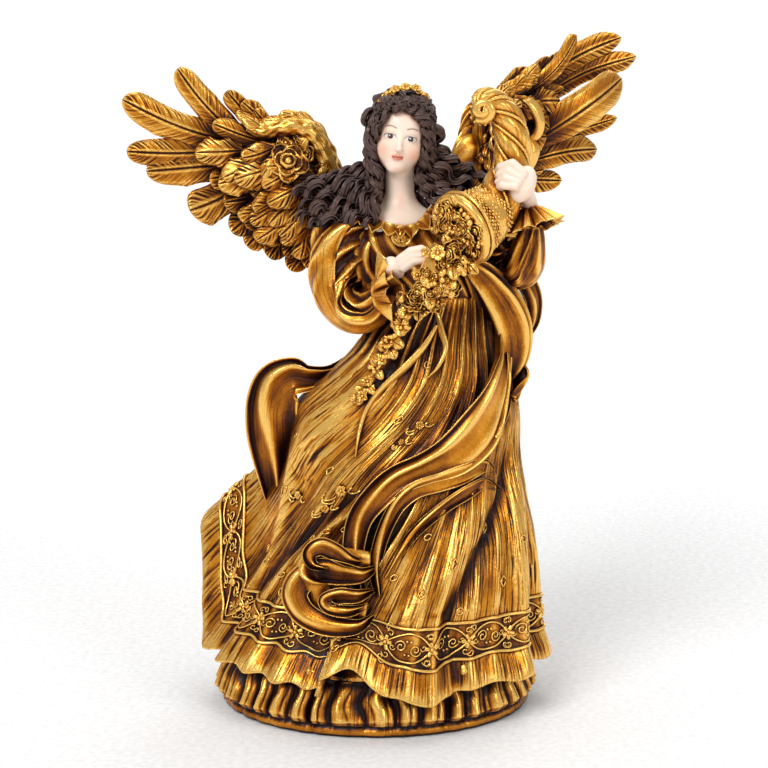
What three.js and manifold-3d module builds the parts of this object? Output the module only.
// A resin angel figurine in a wind-blown gown, carrying a horn of plenty.
// Millimetres, +Z up, +X to the figure's left hand, -Y to the front. The origin is the centre of the felt pad's
// underside. Every casting is its own closed solid, and GAP of glue line is left wherever two of them meet.
import * as THREE from "three";
import { ParametricGeometry } from "three/addons/geometries/ParametricGeometry.js";
import { mergeVertices } from "three/addons/utils/BufferGeometryUtils.js";
import Module from "manifold-3d";

const wasm = await Module();
wasm.setup();

// ---- Driving dimensions ----
const GAP = 0.35; // glue line between castings
const FACET = 0.3; // how far a facet may be moved when small ones are merged
const PAD_THICKNESS = 1.5;
const BASE_HALF_WIDTH = 97;
const BASE_HALF_DEPTH = 84;
const WAIST_HEIGHT = 246;
const HEM_HEIGHT = 28;
const CAVITY_HALF_WIDTH = 84;
const CAVITY_HALF_DEPTH = 72;
const PLUG_THICKNESS = 6;
const DOWEL_RADIUS = 2.5;
const WING_ROOT_HEIGHT = 270;
const RIGHT_WING_YAW = 6; // degrees the wing is swept back from the figure's side
const LEFT_WING_YAW = 33;

// ---- Materials ----
const finish = (color, roughness, metalness) => new THREE.MeshStandardMaterial({ color, roughness, metalness });
const GOLD = finish(0xb07a26, 0.4, 0.6);
const PALE_GOLD = finish(0xc8923a, 0.35, 0.7);
const HAIR_BROWN = finish(0x2a1d1a, 0.35, 0);
const BISQUE = finish(0xf2d9c8, 0.5, 0);
const FELT = finish(0x3a2a20, 0.95, 0);
const STEEL = finish(0x9a9a9a, 0.35, 1);

// ---- Small maths ----
const TURN = 2 * Math.PI;
const rad = THREE.MathUtils.degToRad;
const { lerp, smoothstep } = THREE.MathUtils;
const vec = (p) => new THREE.Vector3(...p);
const curve = (points) => new THREE.CatmullRomCurve3(points.map(vec), false, "centripetal");

// The value at t (0 to 1) of a list of evenly spaced values.
function along(values, t) {
  const at = t * (values.length - 1);
  const low = Math.min(Math.floor(at), values.length - 2);
  return lerp(values[low], values[low + 1], at - low);
}

// A smooth hump of height 1 around middle, falling to 0 at half a width on each side.
function hump(angle, middle, width) {
  const away = Math.abs(((angle - middle + 540) % 360) - 180) / (width / 2);
  return away >= 1 ? 0 : (1 + Math.cos(Math.PI * away)) / 2;
}

// ---- Closed bodies ----

// A body through rings: section(t, angle) is a point of the ring at t, and each end ring is closed to its centre.
function loft(rows, sides, section) {
  const centre = (t) => {
    const sum = new THREE.Vector3();
    for (let i = 0; i < sides; i++) sum.add(section(t, (i / sides) * TURN));
    return sum.divideScalar(sides);
  };
  const last = rows + 2;
  const place = (u, v, target) => {
    const row = Math.round(v * last);
    if (row === 0) target.copy(centre(0));
    else if (row === last) target.copy(centre(1));
    else target.copy(section((row - 1) / rows, (u % 1) * TURN));
  };
  return solidOf(new ParametricGeometry(place, sides, last));
}

// A closed geometry as a manifold solid, whichever way its faces point.
function solidOf(geometry) {
  const bare = new THREE.BufferGeometry().setAttribute("position", geometry.getAttribute("position"));
  bare.setIndex(geometry.index);
  const merged = mergeVertices(bare, 1e-3);
  const triVerts = [];
  for (let i = 0; i < merged.index.count; i += 3) {
    const [a, b, c] = [0, 1, 2].map((k) => merged.index.getX(i + k));
    if (a !== b && b !== c && a !== c) triVerts.push(a, b, c);
  }
  const make = (corners) =>
    new wasm.Manifold(
      new wasm.Mesh({
        numProp: 3,
        vertProperties: merged.attributes.position.array,
        triVerts: new Uint32Array(corners),
      }),
    );
  const solid = make(triVerts);
  return solid.volume() > 0 ? solid : make(triVerts.reverse());
}

// A round or flattened body along a curve. Its section is radii[0] by radii[1] lists, the first across `side`.
function limb(points, across, thick, { rows = 7, sides = 8, side = [0, 0, 1], lobes = 0, depth = 0 } = {}) {
  const line = curve(points);
  const section = (t, angle) => {
    const forward = line.getTangent(t);
    const wide = vec(side).addScaledVector(forward, -forward.dot(vec(side))).normalize();
    const deep = new THREE.Vector3().crossVectors(forward, wide);
    const swell = 1 + depth * Math.cos(lobes * angle);
    return line
      .getPoint(t)
      .addScaledVector(wide, Math.cos(angle) * along(across, t) * swell)
      .addScaledVector(deep, Math.sin(angle) * along(thick, t) * swell);
  };
  return loft(rows, sides, section);
}

const tube = (points, radii, options) => limb(points, radii, radii, options);

function ball(centre, radii, sides = 10, tilt = [0, 0, 0]) {
  const round = new THREE.SphereGeometry(1, sides, Math.round(sides * 0.6));
  round.scale(...radii);
  round.rotateX(rad(tilt[0])).rotateY(rad(tilt[1])).rotateZ(rad(tilt[2]));
  return solidOf(round.translate(...centre));
}

// An upright elliptical disc with its underside at z.
function disc(halfWidth, halfDepth, z, thickness, sides = 36) {
  const plain = new THREE.CylinderGeometry(1, 1, thickness, sides);
  plain.rotateX(Math.PI / 2).scale(halfWidth, halfDepth, 1);
  return solidOf(plain.translate(0, 0, z + thickness / 2));
}

const join = (bodies) => bodies.reduce((whole, body) => whole.add(body));

const grain = solidOf(new THREE.OctahedronGeometry(GAP * 1.3));

// The solid grown by GAP all round, for cutting a clearance around it.
const grown = (solid) => solid.minkowskiSum(grain).simplify(FACET / 2);

function geometryOf(solid) {
  const mesh = solid.getMesh();
  const geometry = new THREE.BufferGeometry();
  geometry.setAttribute("position", new THREE.BufferAttribute(new Float32Array(mesh.vertProperties), 3));
  geometry.setIndex(new THREE.BufferAttribute(new Uint32Array(mesh.triVerts), 1));
  return geometry;
}

// ---- Gown ----

// Rings of the gown from waist to hem: centre x, half width and half depth.
const GOWN_CENTRE = [42, 36, 33, 26, 19, 18, 17, 12, 5, 0];
const GOWN_WIDTH = [26, 38, 48, 57, 64, 69, 74, 81, 88, 96];
const GOWN_DEPTH = [19, 30, 38, 45, 53, 60, 66, 72, 79, 86];
const TRAIN = {
  angle: 160,
  spread: 60,
  lift: 76,
  reach: 12,
}; // the hem blown up on the figure's right, at the back
const SWAY = { angle: 200, spread: 110, lift: 6 }; // the hem swings up towards the train
const CREASE = { angle: 252, spread: 22, depth: 10 }; // the groove where one front panel passes over the next

// Height of the hem around the gown, by angle in degrees from +X.
const hemHeight = (degrees) =>
  HEM_HEIGHT + TRAIN.lift * hump(degrees, TRAIN.angle, TRAIN.spread) + SWAY.lift * hump(degrees, SWAY.angle, SWAY.spread);

function gownPoint(t, angle) {
  const degrees = THREE.MathUtils.radToDeg(angle);
  const flare = t * t;
  const pleats = 1 + 0.045 * t * Math.sin(11 * angle + 5 * t);
  const train = TRAIN.reach * flare * hump(degrees, TRAIN.angle, 2 * TRAIN.spread);
  const crease = CREASE.depth * flare * hump(degrees, CREASE.angle, CREASE.spread);
  const x = along(GOWN_CENTRE, t) + Math.cos(angle) * (along(GOWN_WIDTH, t) * pleats + train - crease);
  const y = Math.sin(angle) * (along(GOWN_DEPTH, t) * pleats + train - crease);
  return new THREE.Vector3(x, y, lerp(WAIST_HEIGHT, hemHeight(degrees), t));
}

// The hollow that the casting is poured around, open at the bottom.
function cavity() {
  const width = [1, 1, 0.8, 0.68, 0.57, 0.44, 0.26];
  const heights = [-5, 12, 50, 90, 130, 165, 198];
  const lean = [0, 0, 2, 8, 14, 20, 26];
  const section = (t, angle) =>
    new THREE.Vector3(
      along(lean, t) + Math.cos(angle) * CAVITY_HALF_WIDTH * along(width, t),
      Math.sin(angle) * CAVITY_HALF_DEPTH * along(width, t),
      along(heights, t),
    );
  return loft(heights.length - 1, 24, section);
}

const gownOutside = loft(9, 44, gownPoint);
const gown = () => gownOutside.subtract(cavity());

// The ruffled underskirt, which is also the foot of the figurine.
function petticoat() {
  const reach = [0.985, 1.03, 0.97, 0.87, 0.78, 0.72];
  const heights = [PAD_THICKNESS + GAP, 10, 19, 33, 52, 80];
  const lean = [-2, -2, 0, 2, 6, 11];
  const section = (t, angle) => {
    const ruffle = 1 + (1 - t) * 0.026 * Math.sin(11 * angle);
    return new THREE.Vector3(
      along(lean, t) + Math.cos(angle) * BASE_HALF_WIDTH * along(reach, t) * ruffle,
      Math.sin(angle) * BASE_HALF_DEPTH * along(reach, t) * ruffle,
      along(heights, t),
    );
  };
  return loft(heights.length - 1, 44, section).subtract(cavity()).subtract(grown(gownOutside));
}

const feltPad = () => disc(BASE_HALF_WIDTH - 7, BASE_HALF_DEPTH - 7, 0, PAD_THICKNESS);
const basePlug = () =>
  disc(CAVITY_HALF_WIDTH - 2 * GAP, CAVITY_HALF_DEPTH - 2 * GAP, PAD_THICKNESS + GAP, PLUG_THICKNESS);

// ---- Body ----

function bodice() {
  const trunk = limb(
    [[40, 4, 236], [36, 4, 252], [22, 3, 272], [12, 4, 286], [12, 3, 297]],
    [26, 27, 31, 30, 13],
    [20, 20, 22, 18, 11],
    { side: [1, 0, 0], rows: 5, sides: 12 },
  );
  const brooch = ball([18, -20, 278], [8, 6, 9], 8);
  return join([trunk, brooch]);
}

// Head, neck and the upper chest: one bisque casting that the hair is fitted over.
function head() {
  const skull = ball([14, -3, 345], [14.5, 17, 18], 12, [0, 8, 0]);
  const jaw = ball([12.5, -9, 332], [11.5, 11.5, 12.5], 10);
  const nose = ball([12.8, -20.5, 335], [2, 3, 3.4], 6);
  const neck = tube([[13, 1, 288], [13, 0, 305], [13, -3, 326]], [11, 7.6, 8], { rows: 4, sides: 10 });
  const chest = ball([13, -4, 295], [19, 13, 9], 12);
  return join([skull, jaw, nose, neck, chest]);
}

function hair() {
  const cap = ball([14, 3, 349], [19.5, 18.5, 20.5], 12, [0, 8, 0]);
  const rightLock = tube(
    [[0, 1, 340], [-8, -3, 322], [-16, -6, 310], [-34, -3, 306], [-46, 6, 296]],
    [9, 12, 14, 12, 5],
    { rows: 7, sides: 8 },
  );
  const rightTress = tube(
    [[-6, -8, 318], [-10, -13, 302], [-14, -12, 288]],
    [8, 9, 6],
    { rows: 4, sides: 7 },
  );
  const leftLock = tube(
    [[27, 2, 338], [33, -3, 322], [42, -2, 312], [54, 6, 308], [62, 16, 304]],
    [8, 11, 11, 9, 4],
    { rows: 7, sides: 8 },
  );
  const back = tube(
    [[14, 12, 346], [13, 22, 322], [10, 26, 300], [8, 26, 280]],
    [16, 19, 20, 12],
    { rows: 5, sides: 10 },
  );
  return join([cap, rightLock, rightTress, leftLock, back]);
}

// The flower band that crowns the hair.
const tiara = () =>
  tube([[-6, -7, 355], [2, -11, 365], [13, -11, 369], [24, -9, 368], [33, -5, 359]], [2, 3, 3.4, 3, 2], {
    rows: 8,
    sides: 6,
  });

// The frill round the neckline, a wavy ring that is open at the back under the hair.
function collar() {
  const line = [];
  for (let i = 0; i <= 9; i++) {
    const a = rad(150 + (240 * i) / 9);
    line.push([13 + 25 * Math.cos(a), 2 + 22 * Math.sin(a), 294 + 3 * Math.cos(a) + (i % 2 ? 1.6 : -1.6)]);
  }
  return limb(line, line.map(() => 5), line.map(() => 2.2), { rows: 18, sides: 6, side: [0, -0.5, 1] });
}

// ---- Arms ----

const PUFF = { sides: 10, lobes: 5, depth: 0.06 };

const rightSleeve = () =>
  join([
    tube([[-5, 3, 291], [-14, 0, 287], [-22, -5, 275], [-24, -8, 262]], [10, 14, 15.5, 14], { rows: 5, ...PUFF }),
    tube([[-24, -8, 262], [-20, -14, 248], [-10, -22, 241], [3, -34, 252]], [13, 15, 14, 8], { rows: 6, ...PUFF }),
  ]);

const leftSleeve = () =>
  join([
    tube([[38, 4, 290], [54, 3, 286], [70, 0, 276], [81, -5, 264]], [12, 15.5, 15.5, 12], { rows: 5, ...PUFF }),
    tube([[81, -5, 264], [85, -12, 268], [87, -18, 279], [87, -21, 291]], [12, 12, 10, 6.5], { rows: 5, ...PUFF }),
  ]);

const rightCuff = () =>
  tube(
    [[2, -33, 257], [8, -38, 260], [15, -43, 262]],
    [8, 12, 17],
    { rows: 3, sides: 16, lobes: 4, depth: 0.12 },
  );
const leftCuff = () =>
  limb([[87, -20, 291], [88, -22, 284], [89, -24, 277]], [7, 13, 18], [7, 9, 11], {
    rows: 3,
    sides: 16,
    side: [1, 0, 0],
    lobes: 4,
    depth: 0.12,
  });

// A hand as a palm, the four fingers lying side by side and grooved between, and the thumb apart.
function hand(palm, fingers, thumb, side) {
  return join([
    limb(palm, [5, 7.5, 7.5], [4.6, 4.8, 4], { rows: 4, sides: 8, side }),
    limb(fingers, [7.5, 7, 6], [3.4, 3, 2.2], { rows: 4, sides: 16, side, lobes: 8, depth: 0.06 }),
    tube(thumb, [2.8, 2.5, 1.8], { rows: 3, sides: 6 }),
  ]);
}

const rightHand = () =>
  hand(
    [[6, -35, 257], [14, -45, 266], [19, -49, 272]],
    [[17, -48, 271], [24, -56, 275], [32, -61, 272]],
    [[14, -46, 270], [13, -50, 277], [17, -54, 282]],
    [0.3, 0.3, 0.9],
  );
const leftHand = () =>
  hand(
    [[87, -21, 288], [84, -26, 300], [79, -29, 311]],
    [[80, -29, 309], [73, -37, 315], [65, -38, 313]],
    [[88, -25, 303], [92, -20, 311], [87, -14, 317]],
    [0.4, 0.2, 0.9],
  );

// ---- Horn of plenty ----

const HORN_LINE = [
  [47, -50, 289],
  [56, -43, 294],
  [67, -34, 301],
  [74, -28, 313],
  [78, -26, 330],
  [76, -26, 346],
  [70, -27, 357],
  [62, -29, 360],
  [57, -30, 355],
];
const HORN_RADIUS = [22.5, 20, 16.5, 13, 11, 8.5, 6.5, 5.5, 3];

function horn() {
  const shell = tube(HORN_LINE, HORN_RADIUS, { rows: 12, sides: 12 });
  const rim = new THREE.TorusGeometry(21, 3, 5, 18);
  const facing = vec(HORN_LINE[0]).sub(vec(HORN_LINE[1])).normalize();
  rim.applyQuaternion(new THREE.Quaternion().setFromUnitVectors(new THREE.Vector3(0, 0, 1), facing));
  rim.translate(...HORN_LINE[0]);
  const mouth = tube(
    [[40, -57, 285], [52, -46, 291.5], [60, -40, 296]],
    [19, 18, 10],
    { rows: 3, sides: 12 },
  );
  return join([shell, solidOf(rim)]).subtract(mouth);
}

// Roses, fruit and leaves heaped in the horn's mouth and spilling over its lower lip.
function bouquet() {
  const blooms = [
    [[46, -53, 290], 15], [[54, -58, 283], 10], [[38, -61, 291], 9], [[47, -64, 277], 11], [[35, -62, 273], 10],
    [[57, -55, 270], 9], [[43, -61, 262], 10], [[30, -58, 258], 10], [[27, -57, 246], 9], [[17, -58, 240], 7],
  ];
  return join(blooms.map(([centre, r]) => ball(centre, [r, r * 0.8, r], 7)));
}

// The trail of leaves and buds that hangs down the front of the gown.
const leafTrail = () =>
  limb([
    [17, -48, 240],
    [8, -37, 224],
    [0, -33, 209],
    [-8, -32, 194],
    [-16, -33, 181],
  ], [8, 7, 6, 6, 3], [5, 4, 4, 4, 3], {
    rows: 6,
    sides: 9,
    side: [1, 0, 0.4],
    lobes: 3,
    depth: 0.2,
  });

// ---- Sash ----

// A length of cloth laid along a line: across is its half width, and side the way it lies.
const cloth = (points, across, thick, side, rows = 14) =>
  limb(points, across, points.map(() => thick), { rows, sides: 8, side });

const sashFront = () =>
  cloth(
    [
      [90, 2, 214],
      [93, -9, 190],
      [83, -28, 173],
      [63, -49, 160],
      [42, -61, 151],
      [21, -67, 141],
      [2, -72, 125],
      [-8, -79, 104],
      [-8, -87, 83],
    ],
    [11, 15, 15, 14, 12, 11, 11, 9, 5],
    4.5,
    [0.35, -0.25, 0.9],
    18,
  );
const sashTail = () =>
  join([
    cloth(
      [[-4, -84, 95], [-18, -84, 89], [-34, -80, 90], [-45, -72, 98]],
      [10, 11, 10, 5],
      5,
      [0, -0.3, 1],
      8,
    ),
    cloth([[-8, -80, 107], [-22, -80, 111], [-30, -78, 103]], [6, 7, 4], 5, [0, -0.3, 1], 5),
  ]);
const sashLoop = () =>
  cloth(
    [
      [12, 18, 230],
      [-16, 20, 204],
      [-42, 8, 202],
      [-62, 2, 196],
      [-69, 0, 178],
      [-64, 2, 150],
      [-56, 8, 124],
      [-50, 18, 104],
    ],
    [9, 11, 14, 15, 16, 16, 13, 8],
    4.5,
    [0.75, 0.5, 0.35],
    16,
  );
const sashKnot = () =>
  join([
    ball([62, 22, 246], [16, 12, 14], 9),
    cloth(
      [[74, 18, 246], [90, 14, 236], [97, 10, 224], [92, 8, 208]],
      [10, 12, 11, 6],
      4.5,
      [0.3, 0.9, 0.3],
      9,
    ),
    cloth([[56, 30, 240], [52, 48, 214], [48, 56, 186], [44, 66, 160]], [9, 12, 13, 8], 4.5, [1, 0, 0], 9),
  ]);

// ---- Wings ----

// Long feathers in the wing's own plane: base and tip as span and height over the root, and half width.
const FEATHERS = [
  [[70, 70], [110, 107], 9],
  [[72, 64], [142, 88], 10],
  [[72, 56], [140, 61], 10],
  [[66, 50], [128, 44], 11],
  [[58, 42], [104, 21], 12],
  [[50, 34], [76, 8], 11],
  [[38, 24], [58, -4], 10],
  [[26, 14], [40, -13], 9],
];

// A wing as one casting: the bent arm of its leading edge, its covert web and its long feathers.
function wing(root, yaw, raise, mirror) {
  const flat = (s, h, d) => {
    const turned = new THREE.Vector3(s, h, d).applyAxisAngle(new THREE.Vector3(0, 0, 1), rad(raise));
    const out = new THREE.Vector3(mirror * Math.cos(rad(yaw)), Math.sin(rad(yaw)), 0);
    const back = new THREE.Vector3(-mirror * Math.sin(rad(yaw)), Math.cos(rad(yaw)), 0);
    return vec(root).addScaledVector(out, turned.x).addScaledVector(back, turned.z).add(new THREE.Vector3(0, 0, turned.y));
  };
  const at = (points) => points.map((p) => flat(...p).toArray());
  const back = flat(0, 0, 1).sub(flat(0, 0, 0)).toArray();
  const up = flat(0, 1, 0).sub(flat(0, 0, 0)).toArray();
  const arm = tube(
    at([[-6, -4, 2], [6, 22, 2], [10, 52, 0], [24, 71, -3], [46, 72, -2], [64, 76, 0], [80, 84, 2]]),
    [9, 9, 7.5, 7, 6.5, 6, 4],
    { rows: 8, sides: 6 },
  );
  const web = limb(
    at([[2, 2, 2], [22, 26, 1], [42, 46, 0], [60, 60, 1], [78, 68, 2]]),
    [18, 27, 30, 24, 12],
    [5, 4.5, 4, 3.6, 3],
    { rows: 5, sides: 8, side: flat(0.65, -0.75, 0).sub(flat(0, 0, 0)).toArray() },
  );
  const feathers = FEATHERS.map(([base, tip, half], i) => {
    const lift = i % 2 ? 1.2 : -1.2;
    const mid = [(base[0] + tip[0]) / 2, (base[1] + tip[1]) / 2];
    const far = [lerp(base[0], tip[0], 0.93), lerp(base[1], tip[1], 0.93)];
    const across = new THREE.Vector3(...up).applyAxisAngle(
      vec(back),
      mirror * Math.atan2(tip[1] - base[1], tip[0] - base[0]) * -1,
    );
    return limb(at([
      [...base, lift],
      [...mid, lift - 1],
      [...far, lift + 1],
      [...tip, lift + 2],
    ]), [half * 0.6, half, half * 0.85, half * 0.35], [2.2, 2, 1.7, 1.2], {
      rows: 3,
      sides: 6,
      side: across.toArray(),
    });
  });
  return join([arm, web, ...feathers]);
}

const RIGHT_ROOT = [-8, 30, WING_ROOT_HEIGHT];
const LEFT_ROOT = [32, 30, WING_ROOT_HEIGHT];
const rightWing = () => wing(RIGHT_ROOT, -RIGHT_WING_YAW, 0, -1);
const leftWing = () => wing(LEFT_ROOT, LEFT_WING_YAW, 6, 1);

// The steel pins that the glued castings are located on.
const dowel = (from, to) => tube(
  [from, vec(from).lerp(vec(to), 0.5).toArray(), to],
  [DOWEL_RADIUS, DOWEL_RADIUS, DOWEL_RADIUS],
  { rows: 1, sides: 12 },
);

// ---- Assembly ----

const figurine = new THREE.Group();
const placed = [];

const meet = (a, b) => ["0", "1", "2"].every((k) => a.min[k] < b.max[k] + GAP && b.min[k] < a.max[k] + GAP);
const largest = (solid) => solid.decompose().reduce((most, body) => (body.volume() > most.volume() ? body : most));

// Adds a casting, cut back by GAP from everything placed before it that it would run into.
function place(name, material, raw) {
  let solid = raw.simplify(FACET);
  for (const other of placed) {
    if (!meet(solid.boundingBox(), other.box)) continue;
    other.clearance ??= grown(other.solid);
    if (solid.intersect(other.clearance).volume() > 0) solid = solid.subtract(other.clearance);
  }
  solid = largest(solidOf(geometryOf(largest(solid.simplify(FACET / 3)))));
  placed.push({ solid, box: solid.boundingBox() });
  const geometry = geometryOf(solid);
  geometry.computeVertexNormals();
  const part = new THREE.Mesh(geometry, material.clone());
  part.name = name;
  figurine.add(part);
}

place("right_wing_dowel", STEEL, dowel([-4, 22, 272], [-12, 40, 272]));
place("left_wing_dowel", STEEL, dowel([30, 20, 272], [38, 42, 272]));
place("neck_dowel", STEEL, dowel([13, 3, 276], [13, 0, 314]));
place("felt_pad", FELT, feltPad());
place("base_plug", GOLD, basePlug());
place("gown", GOLD, gown());
place("petticoat", GOLD, petticoat());
place("head", BISQUE, head());
place("bodice", GOLD, bodice());
place("collar_frill", PALE_GOLD, collar());
place("left_hand", BISQUE, leftHand());
place("right_hand", BISQUE, rightHand());
place("horn_of_plenty", PALE_GOLD, horn());
place("right_sleeve", GOLD, rightSleeve());
place("left_sleeve", GOLD, leftSleeve());
place("hair", HAIR_BROWN, hair());
place("flower_tiara", PALE_GOLD, tiara());
place("right_cuff", PALE_GOLD, rightCuff());
place("left_cuff", PALE_GOLD, leftCuff());
place("bouquet", PALE_GOLD, bouquet());
place("leaf_trail", PALE_GOLD, leafTrail());
place("sash_front", GOLD, sashFront());
place("sash_tail", GOLD, sashTail());
place("sash_loop", GOLD, sashLoop());
place("sash_knot", GOLD, sashKnot());
place("right_wing", GOLD, rightWing());
place("left_wing", GOLD, leftWing());

export default figurine;
